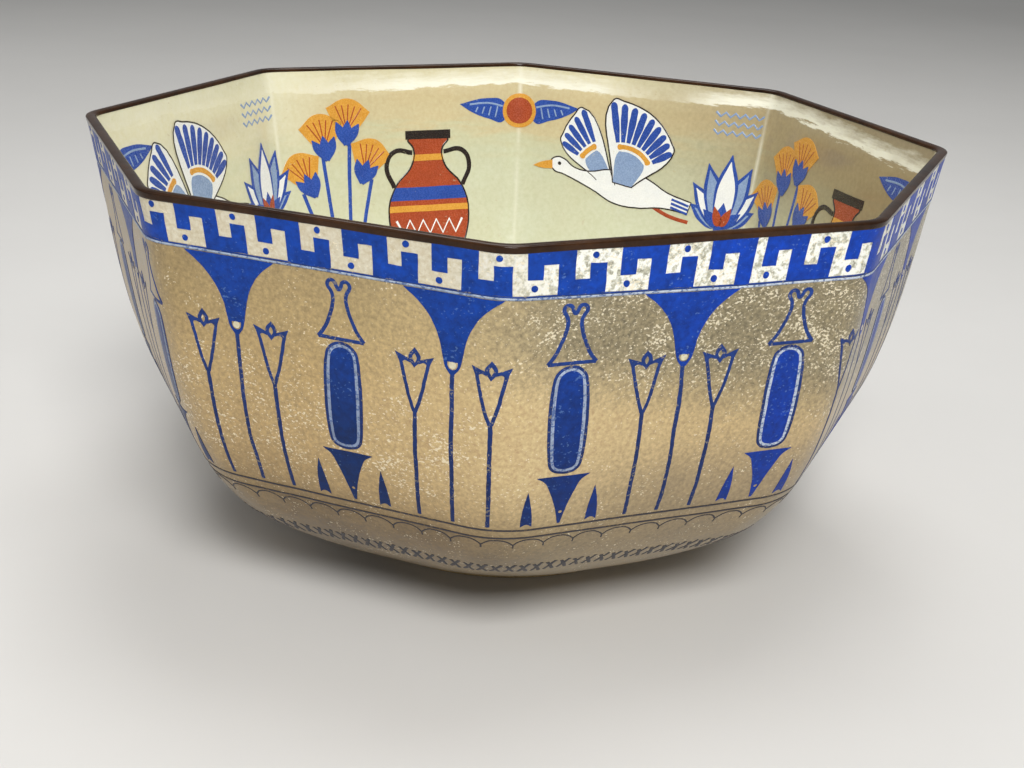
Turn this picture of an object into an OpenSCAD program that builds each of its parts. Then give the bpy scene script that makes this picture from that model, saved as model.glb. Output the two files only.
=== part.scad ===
// Eight-sided glazed bowl with soft corners, bulging walls and a turned foot ring.
// Millimetres, +Z up. The origin is the centre of the face that the bowl stands on,
// and flat sides face +X, -X, +Y and -Y.

/* [Bowl] */
// Width across two opposite flat sides at the top edge of the wall
width_across_flats = 228; // [190:1:270]
// Height of the wall's top edge above the table
wall_top = 117.6; // [100:0.1:135]
// Radius of the soft corners at the rim
rim_corner_radius = 11.4; // [8:0.2:18]
// Radius of the soft corners low down on the wall
heel_corner_radius = 27; // [18:1:34]

/* [Wall curve] */
// Lean of the wall at the rim, in degrees from upright
rim_lean = 10.9; // [6:0.1:16]
// Length over which the rim's lean carries down the wall
rim_pull = 45.6; // [35:0.2:55]
// Rise of the underside where it leaves the foot, in degrees from level
heel_rise = 16.6; // [12:0.1:22]
// Length over which the underside's rise carries outwards
heel_pull = 62.7; // [50:0.1:68]

/* [Thickness] */
// Thickness of the clay at the rim
rim_clay = 1.7; // [1.4:0.1:3]
// Thickness of the clay at the heel
heel_clay = 4.4; // [3.5:0.1:6]
// Thickness of the clay floor inside the foot ring
floor_clay = 4.6; // [3.6:0.1:7]
// Thickness of each coat of glaze
glaze_coat = 0.35; // [0.25:0.05:0.6]

/* [Foot] */
// Outer radius of the foot ring where it joins the clay
foot_radius = 48.5; // [40:0.5:56]
// Height of the foot ring
foot_height = 4.8; // [4.5:0.1:8]
// Width of the foot ring where it joins the clay
foot_width = 6; // [4.5:0.1:8]
// Inward taper of each side of the foot ring from its joint to the table
foot_taper = 0.7; // [0.2:0.1:1.2]
// Rounding of the two edges that the foot stands on
foot_edge = 0.7; // [0.3:0.1:1]
// Step from the foot ring out to the glazed underside
heel_step = 1.5; // [1:0.1:3]

/* [Rim edging] */
// How far the brown edging laps down the outside of the wall
outer_lap = 1; // [0.8:0.1:4]
// How far the brown edging laps down the inside of the wall
inner_lap = 0.6; // [0.5:0.1:3]
// How far the edging stands proud of the glaze
edging_proud = 0.2; // [0.15:0.05:0.6]
// Height of the edging's crown above the wall
edging_crown = 0.6; // [0.4:0.1:2]
// Length of the feathered lower margins of the edging
edging_feather = 0.4; // [0.2:0.1:0.5]

/* [Hidden] */

$fn = 96;
sides = 8;
sector = 360 / sides;
// Facets round each soft corner, rows down the wall and rows across the floor
corner_steps = 4;
wall_rows = 12;
floor_rows = 5;
crown_steps = 6;
// Share of the way round at which the floor's curve is closed by a flat disc
floor_disc = 0.86;
// Row of the wall where the inside leaves the wall's curve and runs into the floor
heel_row = 11;
// Part of the height where the plan starts to turn from eight sides to a circle
rounding_start = 0.8;
// Largest corner radius as a share of the width, so that no flat vanishes
round_limit = 0.98;

rim_apothem = width_across_flats / 2;
shell_height = wall_top - foot_height;
heel_apothem = foot_radius + heel_step;

// Small helpers
function mix(a, b, k) = a + (b - a) * k;
function unit(v) = v / norm(v);
function ease(k) = let (c = max(0, min(1, k))) c * c * (3 - 2 * c);
function reversed(list) = [for (i = [len(list) - 1 : -1 : 0]) list[i]];

// Outer face of the wall: one curve from the rim down to the foot, as [apothem, z]
curve = [
  [rim_apothem, wall_top],
  [rim_apothem - rim_pull * sin(rim_lean), wall_top - rim_pull * cos(rim_lean)],
  [heel_apothem + heel_pull * cos(heel_rise), foot_height + heel_pull * sin(heel_rise)],
  [heel_apothem, foot_height]
];
function curve_point(t) =
  pow(1 - t, 3) * curve[0] + 3 * pow(1 - t, 2) * t * curve[1]
  + 3 * (1 - t) * pow(t, 2) * curve[2] + pow(t, 3) * curve[3];
function curve_heading(t) = unit(
  pow(1 - t, 2) * (curve[1] - curve[0]) + 2 * (1 - t) * t * (curve[2] - curve[1])
  + pow(t, 2) * (curve[3] - curve[2])
);
function inward(t) = let (h = curve_heading(t)) [h.y, -h.x];

// A layer keeps its thickness square to the wall. At the rim and the foot it is cut level.
function layer_point(t, depth) =
  let (p = curve_point(t) + depth * inward(t), h = curve_heading(t))
  let (level = t == 0 ? wall_top : t == 1 ? foot_height : p.y)
  p + h * (level - p.y) / h.y;
function clay_depth(t) = mix(rim_clay, heel_clay, t);

// The plan at a row of the wall is an eight-sided core, swept outwards by the corner radius
function corner_radius(t) =
  let (p = curve_point(t), fall = (wall_top - p.y) / shell_height)
  let (soft = mix(rim_corner_radius, heel_corner_radius, fall))
  mix(soft, round_limit * p.x, ease((fall - rounding_start) / (1 - rounding_start)));
function core(t) = curve_point(t).x - corner_radius(t);
function ring(core_apothem, apothem, z) = [
  for (side = [0 : sides - 1], step = [0 : corner_steps])
    let (corner = sector * (side + 0.5), face = sector * (side + step / corner_steps))
    let (reach = core_apothem / cos(sector / 2), radius = apothem - core_apothem)
    [reach * cos(corner) + radius * cos(face), reach * sin(corner) + radius * sin(face), z]
];
function layer_ring(t, depth) = let (p = layer_point(t, depth)) ring(core(t), p.x, p.y);
function wall_rings(depth_share, coats, last_row) = [
  for (row = [0 : last_row])
    let (t = row / wall_rows)
    layer_ring(t, coats * glaze_coat + depth_share * clay_depth(t))
];

// Inside the heel the layer leaves the wall's curve and runs level into the floor
function floor_rings(coats) =
  let (t = heel_row / wall_rows, h = curve_heading(t))
  let (start = layer_point(t, coats * glaze_coat + clay_depth(t)))
  let (level = foot_height + floor_clay + (coats - 1) * glaze_coat)
  let (bend = start.x + h.x * (level - start.y) / h.y)
  [
    for (row = [1 : floor_rows])
      let (u = floor_disc * row / floor_rows, near = pow(1 - u, 2))
      let (apothem = near * start.x + 2 * u * (1 - u) * bend)
      ring(core(t) * near, apothem, mix(level, start.y, near))
  ];
function inside_rings(coats) = concat(wall_rings(1, coats, heel_row), floor_rings(coats));

// Skin through a stack of rings, closed by end discs or joined back to its first ring
module loft(rings, joined) {
  count = len(rings[0]);
  last = len(rings) - 1;
  points = [for (r = rings) each r];
  side_faces = [
    for (i = [0 : joined ? last : last - 1], j = [0 : count - 1])
      let (k = (j + 1) % count, n = (i + 1) % len(rings))
      [i * count + j, i * count + k, n * count + k, n * count + j]
  ];
  discs = joined ? [] : [
    [for (j = [count - 1 : -1 : 0]) j],
    [for (j = [0 : count - 1]) last * count + j]
  ];
  polyhedron(points, concat(side_faces, discs), convexity = 6);
}

// Unglazed clay shell: underside, wall, level top edge, inside wall and floor
module biscuit_body() {
  color("#cdb892")
    loft(concat(reversed(wall_rings(0, 1, wall_rows)), inside_rings(1)), false);
}

// Turned ring that the bowl stands on, joined to the flat underside of the clay
module foot_ring() {
  inner = foot_radius - foot_width;
  color("#b9a27a")
    rotate_extrude()
      polygon([
        [inner, foot_height],
        [inner + foot_taper, foot_edge],
        [inner + foot_taper + foot_edge, 0],
        [foot_radius - foot_taper - foot_edge, 0],
        [foot_radius - foot_taper, foot_edge],
        [foot_radius, foot_height]
      ]);
}

// Lustre coat over the outside of the wall, from the rim to the foot
module outer_glaze() {
  color("#b79f6c")
    loft(concat(reversed(wall_rings(0, 0, wall_rows)), wall_rings(0, 1, wall_rows)), true);
}

// Pale coat over the inside wall and the floor
module inner_glaze() {
  color("#cfc8a4")
    loft(concat(reversed(inside_rings(1)), inside_rings(2)), false);
}

// Coat over the clay inside the foot ring
module base_glaze() {
  color("#c9bb90")
    translate([0, 0, foot_height - glaze_coat])
      cylinder(r = foot_radius - foot_width, h = glaze_coat);
}

// Brown edging, a rounded cap over the rim that laps down both sides of the wall
module rim_edging() {
  first = [for (coats = [0, 2]) layer_point(0, coats * glaze_coat + coats / 2 * rim_clay)];
  next = [
    for (coats = [0, 2])
      layer_point(1 / wall_rows, coats * glaze_coat + coats / 2 * clay_depth(1 / wall_rows))
  ];
  cores = [core(0), core(1 / wall_rows)];
  middle = (first[0].x + first[1].x) / 2;
  half = (first[0].x - first[1].x) / 2 + edging_proud;
  color("#3a2015")
    loft(concat(
      [skirt_ring(first[0], next[0], cores, outer_lap, 0)],
      [skirt_ring(first[0], next[0], cores, outer_lap - edging_feather, edging_proud)],
      [
        for (step = [0 : crown_steps])
          let (angle = 180 * step / crown_steps)
          ring(cores[0], middle + half * cos(angle), wall_top + edging_crown * sin(angle))
      ],
      [skirt_ring(first[1], next[1], cores, inner_lap - edging_feather, -edging_proud)],
      [skirt_ring(first[1], next[1], cores, inner_lap, 0)],
      [for (side = [1, 0]) ring(cores[0], first[side].x, wall_top)]
    ), true);
}

// Ring on the wall between its first two rows, so that the edging lies flat on the glaze
function skirt_ring(upper, lower, cores, drop, proud) =
  let (share = drop / (upper.y - lower.y), p = mix(upper, lower, share))
  ring(mix(cores[0], cores[1], share), p.x + proud, p.y);

biscuit_body();
foot_ring();
outer_glaze();
inner_glaze();
base_glaze();
rim_edging();
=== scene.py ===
# %% [markdown]
# # An eight-sided bowl with painted bands
#
# The bowl is slip-cast clay: eight bulging walls with soft corners, a turned foot, a lustre glaze
# outside, a pale glaze inside and a brown painted edge. Blue bands are printed round the outside.
# The solid model gives every size, so it is loaded first and never moved. What follows makes the
# same pieces again with finer surfaces, then paints them.

# %% Load the solid model
import math

import bpy
import numpy as np
from mathutils import Matrix, Vector, noise


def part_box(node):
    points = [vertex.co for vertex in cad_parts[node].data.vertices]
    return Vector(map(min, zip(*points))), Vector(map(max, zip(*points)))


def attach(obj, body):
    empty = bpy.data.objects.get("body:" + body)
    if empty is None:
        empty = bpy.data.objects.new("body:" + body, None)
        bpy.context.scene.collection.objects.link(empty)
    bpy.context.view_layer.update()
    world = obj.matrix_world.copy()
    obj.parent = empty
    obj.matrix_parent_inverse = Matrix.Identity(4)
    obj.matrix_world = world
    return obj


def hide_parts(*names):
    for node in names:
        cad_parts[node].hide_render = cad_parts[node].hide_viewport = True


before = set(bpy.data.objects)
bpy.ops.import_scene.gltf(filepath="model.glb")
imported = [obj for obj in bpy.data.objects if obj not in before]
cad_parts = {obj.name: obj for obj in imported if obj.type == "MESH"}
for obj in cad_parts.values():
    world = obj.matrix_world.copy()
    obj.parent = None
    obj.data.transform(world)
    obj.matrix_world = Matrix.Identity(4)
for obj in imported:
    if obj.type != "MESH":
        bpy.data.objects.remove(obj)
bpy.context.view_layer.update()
MM = 0.001
print("solid model:", sorted(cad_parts))

# %% [markdown]
# ## The camera
#
# The picture to match was taken close to the bowl, a little above its rim and turned from its
# front side. A camera has three axes: right, up and back. They are worked out from two turns and a
# small roll, and put side by side in one matrix, which is steadier than juggling Euler angles.

# %% Camera
VIEW_TURN = math.radians(22.67)
VIEW_RISE = math.radians(20.57)
VIEW_ROLL = math.radians(2.41)
VIEW_CENTRE = Vector((0, 0, 115.7 * MM))
VIEW_BACK = 448.3 * MM
VIEW_RIGHT = 1.8 * MM
VIEW_DOWN = 70.0 * MM
LENS = 55.18
SENSOR = 36
NEAREST = 10 * MM

back = Vector((
    math.sin(VIEW_TURN) * math.cos(VIEW_RISE),
    -math.cos(VIEW_TURN) * math.cos(VIEW_RISE),
    math.sin(VIEW_RISE),
))
right = Vector((math.cos(VIEW_TURN), math.sin(VIEW_TURN), 0))
up = back.cross(right)
eye = VIEW_CENTRE + VIEW_BACK * back + VIEW_RIGHT * right - VIEW_DOWN * up
across = math.cos(VIEW_ROLL) * right + math.sin(VIEW_ROLL) * up
above = math.cos(VIEW_ROLL) * up - math.sin(VIEW_ROLL) * right

bpy.ops.object.camera_add()
camera = bpy.context.object
camera.matrix_world = Matrix((across, above, back)).transposed().to_4x4()
camera.location = eye
camera.data.sensor_fit = "HORIZONTAL"
camera.data.sensor_width = SENSOR
camera.data.lens = LENS
camera.data.clip_start = NEAREST
bpy.context.scene.camera = camera
bpy.context.scene.view_settings.view_transform = "Standard"
print("camera at", [round(v, 3) for v in eye])

# %% [markdown]
# ## The wall as a formula
#
# The wall's outline is one curve from the rim down to the foot. Round the bowl, each level is an
# eight-sided core grown outwards by a corner radius, so flats and corners meet without a crease.
# If the same formula bends every skin and every print, they all lie on each other exactly. Outer
# sizes are read from the solid model. The others are its driving sizes, in millimetres.

# %% Sizes of the wall
SIDES = 8
HALF_SECTOR = math.pi / SIDES
rim_low, rim_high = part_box("outer_glaze")
_, foot_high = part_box("foot_ring")
RIM_REACH = rim_high.x / MM
WALL_TOP = rim_high.z / MM
FOOT_TOP = rim_low.z / MM
FOOT_RADIUS = foot_high.x / MM
HEEL_OUT = 1.5
HEEL_REACH = FOOT_RADIUS + HEEL_OUT
RIM_LEAN = math.radians(10.9)
RIM_PULL = 45.6
HEEL_RISE = math.radians(16.6)
HEEL_PULL = 62.7
RIM_CORNER = 11.4
HEEL_CORNER = 27
ROUNDING_START = 0.8
ROUND_LIMIT = 0.98
RIM_CLAY = 1.7
HEEL_CLAY = 4.4
FLOOR_CLAY = 4.6
GLAZE = 0.35
HEEL_SHARE = 11 / 12
WALL_STEPS = 600
FLOOR_STEPS = 160
LEAST_RADIUS = 1e-6
print(f"reach {RIM_REACH:.1f}, wall top {WALL_TOP:.1f}, foot radius {FOOT_RADIUS:.1f} mm")


# %% Outline of the wall and of every layer on it
def blend(start, end, share):
    return start + (end - start) * share


def ease(share):
    share = np.clip(share, 0, 1)
    return share * share * (3 - 2 * share)


def wall_outline(t):
    """Reach and height at shares t of the curve, its heading there, and the reach of the core."""
    knots = np.array([
        [RIM_REACH, WALL_TOP],
        [RIM_REACH - RIM_PULL * math.sin(RIM_LEAN), WALL_TOP - RIM_PULL * math.cos(RIM_LEAN)],
        [HEEL_REACH + HEEL_PULL * math.cos(HEEL_RISE), FOOT_TOP + HEEL_PULL * math.sin(HEEL_RISE)],
        [HEEL_REACH, FOOT_TOP],
    ])
    t = np.asarray(t, float)[:, None]
    point = sum(
        weight * (1 - t) ** (3 - i) * t ** i * knots[i] for i, weight in enumerate((1, 3, 3, 1))
    )
    heading = sum(
        weight * (1 - t) ** (2 - i) * t ** i * (knots[i + 1] - knots[i])
        for i, weight in enumerate((1, 2, 1))
    )
    heading /= np.linalg.norm(heading, axis=1)[:, None]
    fall = (WALL_TOP - point[:, 1]) / (WALL_TOP - FOOT_TOP)
    corner = blend(
        blend(RIM_CORNER, HEEL_CORNER, fall),
        ROUND_LIMIT * point[:, 0],
        ease((fall - ROUNDING_START) / (1 - ROUNDING_START)),
    )
    return point, heading, point[:, 0] - corner


def layer(coats, clay_share, last=1.0):
    """Rows of [reach, height, core] for a face under so many coats of glaze and a share of clay."""
    t = np.linspace(0, last, WALL_STEPS)
    point, heading, core = wall_outline(t)
    depth = coats * GLAZE + clay_share * blend(RIM_CLAY, HEEL_CLAY, t)
    inward = np.stack([heading[:, 1], -heading[:, 0]], 1)
    line = point + depth[:, None] * inward
    top = line[0] + heading[0] * (WALL_TOP - line[0, 1]) / heading[0, 1]
    rows = np.column_stack([line, core])[line[:, 1] < WALL_TOP]
    rows = np.vstack([[*top, core[0]], rows])
    if last == 1.0:
        foot = line[-1] + heading[-1] * (FOOT_TOP - line[-1, 1]) / heading[-1, 1]
        rows = np.vstack([rows[rows[:, 1] > FOOT_TOP], [*foot, core[-1]]])
    return rows


def inside_layer(coats):
    """The same for an inside face, which leaves the wall at the heel and runs level to the centre."""
    wall = layer(coats, 1, HEEL_SHARE)
    heading = wall_outline([HEEL_SHARE])[1][0]
    start = wall[-1]
    level = FOOT_TOP + FLOOR_CLAY + (coats - 1) * GLAZE
    bend = start[0] + heading[0] * (level - start[1]) / heading[1]
    u = np.linspace(0, 1, FLOOR_STEPS)[1:]
    near = (1 - u) ** 2
    floor = np.column_stack([
        near * start[0] + 2 * u * (1 - u) * bend, blend(level, start[1], near), start[2] * near
    ])
    return np.vstack([wall, floor])


def run_of(rows):
    """Millimetres travelled along a layer, from the rim."""
    steps = np.linalg.norm(np.diff(rows[:, :2], axis=0), axis=1)
    return np.concatenate([[0], np.cumsum(steps)])


def resample(rows, count):
    run = run_of(rows)
    at = np.linspace(0, run[-1], count)
    return np.column_stack([np.interp(at, run, rows[:, i]) for i in range(3)])


OUTSIDE = layer(0, 0)
INSIDE = inside_layer(2)
print(f"outside face {run_of(OUTSIDE)[-1]:.1f} mm long, inside face {run_of(INSIDE)[-1]:.1f} mm")


# %% Bend flat points round the bowl
def bend_round(turn, reach, height, core, swell=0.0):
    """Metres, for points at a turn round the bowl on levels of that reach, height and core.
    Turn 0 is the front corner, and turns go to the right, seen from in front."""
    radius = np.maximum(reach - core, LEAST_RADIUS)
    flat = core * math.tan(HALF_SECTOR)
    side = 2 * flat + 2 * radius * HALF_SECTOR
    facet = np.floor(turn * SIDES)
    along = (turn * SIDES - facet - 0.5) * side
    facing = (2 * facet - 2) * HALF_SECTOR
    straight = np.clip(along, -flat, flat)
    swing = facing + (along - straight) / radius
    out = radius + swell
    return MM * np.column_stack([
        core * np.cos(facing) - straight * np.sin(facing) + out * np.cos(swing),
        core * np.sin(facing) + straight * np.cos(facing) + out * np.sin(swing),
        height,
    ])


# %% [markdown]
# ## Skins
#
# Every thin coat starts as a flat grid, as a sheet of clay starts flat. One direction of the grid
# goes once round the bowl, the other goes down one face of the coat and back up its other face, so
# the sheet closes into a shell with a real thickness. Merging by distance welds the seam and the
# centre of the floor, and the normals are then made to agree.

# %% Helpers for meshes
SKIN_WELD = 0.002 * MM
PIECE_WELD = 0.01 * MM
SKIN_CREASE = math.radians(50)
PIECE_CREASE = math.radians(40)


def deselect():
    bpy.ops.object.select_all(action="DESELECT")


def pick(*pieces):
    deselect()
    for piece in pieces:
        piece.select_set(True)
    bpy.context.view_layer.objects.active = pieces[0]


def get_points(piece):
    flat = np.empty(len(piece.data.vertices) * 3, np.float32)
    piece.data.vertices.foreach_get("co", flat)
    return flat.reshape(-1, 3).astype(float)


def set_points(piece, points):
    piece.data.vertices.foreach_set("co", np.asarray(points, np.float32).ravel())
    piece.data.update()


def move_points(piece, offset):
    set_points(piece, get_points(piece) + offset)


def weld(piece, distance, outward=True):
    """Merges points that lie close together, drops loose ones and, if asked, turns faces outwards."""
    pick(piece)
    bpy.ops.object.mode_set(mode="EDIT")
    bpy.ops.mesh.select_all(action="SELECT")
    bpy.ops.mesh.remove_doubles(threshold=distance)
    bpy.ops.mesh.select_all(action="SELECT")
    bpy.ops.mesh.delete_loose(use_verts=True, use_edges=True, use_faces=False)
    bpy.ops.mesh.select_all(action="SELECT")
    if outward:
        bpy.ops.mesh.normals_make_consistent(inside=False)
    bpy.ops.object.mode_set(mode="OBJECT")


def settle(piece, node, material):
    """Puts a finished piece on the bowl with its finish, and in place of a solid if it has one."""
    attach(piece, "root")
    if node:
        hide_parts(node)
    piece.data.materials.clear()
    piece.data.materials.append(material)


def skin(name, section, columns):
    """A shell from a closed section, given as rows of [reach, height, core]."""
    rows = np.vstack([section, section[:1]])
    deselect()
    bpy.ops.mesh.primitive_grid_add(x_subdivisions=columns, y_subdivisions=len(rows) - 1, size=1)
    piece = bpy.context.object
    piece.name = name
    flat = get_points(piece)
    row = np.rint((0.5 - flat[:, 1]) * (len(rows) - 1)).astype(int)
    set_points(piece, bend_round(flat[:, 0] + 0.5, *rows[row].T))
    weld(piece, SKIN_WELD)
    bpy.ops.object.shade_smooth_by_angle(angle=SKIN_CREASE)
    print(f"{name}: {len(piece.data.polygons)} faces")
    return piece


# %% Clay shell, outside lustre and inside glaze
COLUMNS = 56 * SIDES
CLAY_ROWS = (30, 50)
LUSTRE_ROWS = (70, 20)
GLAZE_ROWS = (40, 90)
UNDER_LUSTRE = layer(1, 0)
UNDER_GLAZE = inside_layer(1)


def between(first, second, rows, *middle):
    """A closed section: down the first face, past any points in the middle, and up the second."""
    return np.vstack([resample(first, rows[0]), *middle, resample(second, rows[1])[::-1]])


clay_section = between(UNDER_LUSTRE, UNDER_GLAZE, CLAY_ROWS, [[0, FOOT_TOP, 0]])
clay_shell = skin("clay_shell", clay_section, COLUMNS // 2)
outside_lustre = skin("outside_lustre", between(OUTSIDE, UNDER_LUSTRE, LUSTRE_ROWS), COLUMNS)
inside_glaze = skin("inside_glaze", between(UNDER_GLAZE, INSIDE, GLAZE_ROWS), COLUMNS)

# %% [markdown]
# ## Brown edge
#
# The rim is wiped with a dark brown stain that runs a little way down both faces. On the real
# bowl it is a smooth bead, thickest on the crown and feathered to nothing below. Its section is
# half an ellipse over the rim with two feathered laps, and its lower margin wavers as a brush does.

# %% Brown edge over the rim
OUTER_LAP = 1.4
INNER_LAP = 0.6
EDGE_PROUD = 0.2
EDGE_CROWN = 0.6
FEATHER = 0.4
LAP_ROWS = 9
CROWN_ROWS = 15
WAVER = 0.3
WAVER_TURNS = 4


def lap_rows(face, lap, proud):
    """Rows up a face from the end of a lap to the rim, swelling to the full coat over the feather."""
    run = lap * np.sin(np.linspace(math.pi / 2, 0, LAP_ROWS))
    thin = np.clip((run - lap + FEATHER) / FEATHER, 0, 1)
    rows = np.column_stack([np.interp(run, run_of(face), face[:, i]) for i in range(3)])
    rows[:, 0] += proud * np.sqrt(1 - thin ** 2)
    return rows


def edge_section():
    """Up the outer lap, over the crown, down the inner lap and back along the rim."""
    middle = (OUTSIDE[0, 0] + INSIDE[0, 0]) / 2
    half = (OUTSIDE[0, 0] - INSIDE[0, 0]) / 2 + EDGE_PROUD
    angle = np.linspace(0, math.pi, CROWN_ROWS)[1:-1]
    crown = np.column_stack([
        middle + half * np.cos(angle),
        WALL_TOP + EDGE_CROWN * np.sin(angle),
        np.full_like(angle, OUTSIDE[0, 2]),
    ])
    inner = lap_rows(INSIDE, INNER_LAP, -EDGE_PROUD)[::-1]
    return np.vstack([lap_rows(OUTSIDE, OUTER_LAP, EDGE_PROUD), crown, inner, INSIDE[:1], OUTSIDE[:1]])


def drift_round(angles, turns, level=0.0):
    """Smooth noise that meets itself after one turn round the bowl."""
    return np.array([noise.noise((turns * math.cos(a), turns * math.sin(a), level)) for a in angles])


def waver(points):
    """Lets the margin of the painted edge wander up and down, the more the further below the rim."""
    drop = np.clip(WALL_TOP * MM - points[:, 2], 0, None)
    points[:, 2] += WAVER * drift_round(np.arctan2(points[:, 1], points[:, 0]), WAVER_TURNS) * drop
    return points


brown_edge = skin("brown_edge", edge_section(), COLUMNS)
set_points(brown_edge, waver(get_points(brown_edge)))

# %% [markdown]
# ## Foot ring and base
#
# The foot was turned on a wheel, so one profile is drawn and spun. A plane gives the four corners,
# its lower corners are bevelled, and the outline is spun once round. The base inside the ring is a
# disc of glaze: a circle, extruded, with its upper edge drawn in and a faint dish in the middle.

# %% Foot ring
FOOT_WIDTH = 6
FOOT_TAPER = 0.7
FOOT_EDGE = 0.7
FOOT_BEVELS = 5
TURN_STEPS = 160

deselect()
bpy.ops.mesh.primitive_plane_add(size=1)
foot = bpy.context.object
foot.name = "foot"
set_points(foot, MM * np.array([
    [FOOT_RADIUS - FOOT_WIDTH + FOOT_TAPER, 0, 0],
    [FOOT_RADIUS - FOOT_TAPER, 0, 0],
    [FOOT_RADIUS - FOOT_WIDTH, 0, FOOT_TOP],
    [FOOT_RADIUS, 0, FOOT_TOP],
]))
bpy.ops.object.mode_set(mode="EDIT")
bpy.ops.mesh.select_mode(type="VERT")
bpy.ops.mesh.select_all(action="DESELECT")
bpy.ops.object.mode_set(mode="OBJECT")
for vertex in foot.data.vertices:
    vertex.select = vertex.co.z < FOOT_EDGE * MM
bpy.ops.object.mode_set(mode="EDIT")
bpy.ops.mesh.bevel(offset=FOOT_EDGE * MM, segments=FOOT_BEVELS, affect="VERTICES")
bpy.ops.mesh.select_all(action="SELECT")
bpy.ops.mesh.delete(type="ONLY_FACE")
bpy.ops.mesh.select_all(action="SELECT")
bpy.ops.mesh.spin(steps=TURN_STEPS, angle=2 * math.pi, center=(0, 0, 0), axis=(0, 0, 1))
bpy.ops.object.mode_set(mode="OBJECT")
weld(foot, PIECE_WELD)
bpy.ops.object.shade_smooth_by_angle(angle=PIECE_CREASE)
print(f"foot: {len(foot.data.polygons)} faces, {max(foot.dimensions[:2]) / MM:.1f} mm across")

# %% Glazed base inside the foot ring
BASE_RADIUS = FOOT_RADIUS - FOOT_WIDTH
BASE_DISH = ((2.0, 0.06), (8.0, 0.05), (16.0, 0.04))
deselect()
bpy.ops.mesh.primitive_circle_add(
    vertices=TURN_STEPS, radius=BASE_RADIUS * MM, fill_type="NGON", location=(0, 0, 0)
)
base = bpy.context.object
base.name = "base"
bpy.ops.object.mode_set(mode="EDIT")
bpy.ops.mesh.select_all(action="SELECT")
bpy.ops.transform.translate(value=(0, 0, FOOT_TOP * MM))
bpy.ops.mesh.extrude_region_move(TRANSFORM_OT_translate={"value": (0, 0, -GLAZE * MM)})
for width, lift in BASE_DISH:
    bpy.ops.mesh.inset(thickness=width * MM, depth=0)
    bpy.ops.transform.translate(value=(0, 0, lift * MM))
bpy.ops.mesh.select_all(action="SELECT")
bpy.ops.mesh.normals_make_consistent(inside=False)
bpy.ops.object.mode_set(mode="OBJECT")
bpy.ops.object.shade_smooth_by_angle(angle=PIECE_CREASE)
print(f"base: {len(base.data.polygons)} faces")

# %% [markdown]
# ## Finishes
#
# All the finishes share one effect: kiln mottling. It is a node group, so it is built once and
# each finish sets its own scales. It gives soft clouds, a fine grain, flecks that gather in patches,
# and a ripple for the bump. A fleck is a spot where a fine noise is high. A coarse noise is added
# first, so flecks lie apart in one place and run together in another, and they are drawn out
# sideways, as a cloth wipes. The colours in this file are written as they look on a screen, from 0
# to 255, and turned into the linear values that the shader wants.

# %% Helpers for finishes
def paint(red, green, blue):
    srgb = np.array([red, green, blue]) / 255
    linear = np.where(srgb <= 0.04045, srgb / 12.92, ((srgb + 0.055) / 1.055) ** 2.4)
    return (*linear.tolist(), 1.0)


def node(tree, kind, sockets=None, **settings):
    """Adds a node. A socket's value is a number, a colour, or another node's output to link."""
    made = tree.nodes.new(kind)
    for name, value in settings.items():
        setattr(made, name, value)
    for name, value in (sockets or {}).items():
        if isinstance(value, bpy.types.NodeSocket):
            tree.links.new(value, made.inputs[name])
        else:
            made.inputs[name].default_value = value
    return made


def calc(tree, operation, first, second):
    return node(tree, "ShaderNodeMath", {0: first, 1: second}, operation=operation).outputs[0]


def share_of(tree, value, amount):
    return calc(tree, "MULTIPLY", value, amount)


def span(tree, value, low, high, start=0.0, end=1.0):
    """Stretches low to high over start to end, and stops there."""
    sockets = {"Value": value, "From Min": low, "From Max": high, "To Min": start, "To Max": end}
    return node(tree, "ShaderNodeMapRange", sockets).outputs[0]


def mix(tree, share, first, second, blend_type="MIX"):
    sockets = {0: share, 6: first, 7: second}
    made = node(tree, "ShaderNodeMix", sockets, data_type="RGBA", blend_type=blend_type)
    return made.outputs[2]


def tint(tree, under, mask, amount, over):
    """Lays a colour over another where a mask says, by an amount at most."""
    return mix(tree, share_of(tree, mask, amount), under, over)


def ramp(tree, value, stops):
    """A colour ramp with its stops as (place, colour)."""
    made = node(tree, "ShaderNodeValToRGB", {0: value})
    elements = made.color_ramp.elements
    while len(elements) < len(stops):
        elements.new(1.0)
    for element, (place, colour) in zip(elements, stops):
        element.position = place
        element.color = colour
    return made.outputs[0]


def grain_node(tree, where, scale, detail=3.0, roughness=0.55):
    """Noise at so many grains a metre."""
    sockets = {"Vector": where, "Scale": scale, "Detail": detail, "Roughness": roughness}
    return node(tree, "ShaderNodeTexNoise", sockets).outputs["Fac"]


# %% Kiln mottling, the shared effect
MOTTLE_SCALES = {"Cloud Scale": 40.0, "Grain Scale": 1800.0, "Fleck Scale": 800.0, "Fleck Share": 0.4}
WIPED = (1.0, 1.0, 1.4)
PATCH_SCALE = 0.09
PATCH_PULL = 0.45
FEW_FLECKS = 0.82
MANY_FLECKS = 0.44
FLECK_EDGE = 0.03
RIPPLE_SCALE = 170.0
RIPPLE_GRAIN = 0.1
MIDDLE_TONES = (0.3, 0.7)


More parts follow.
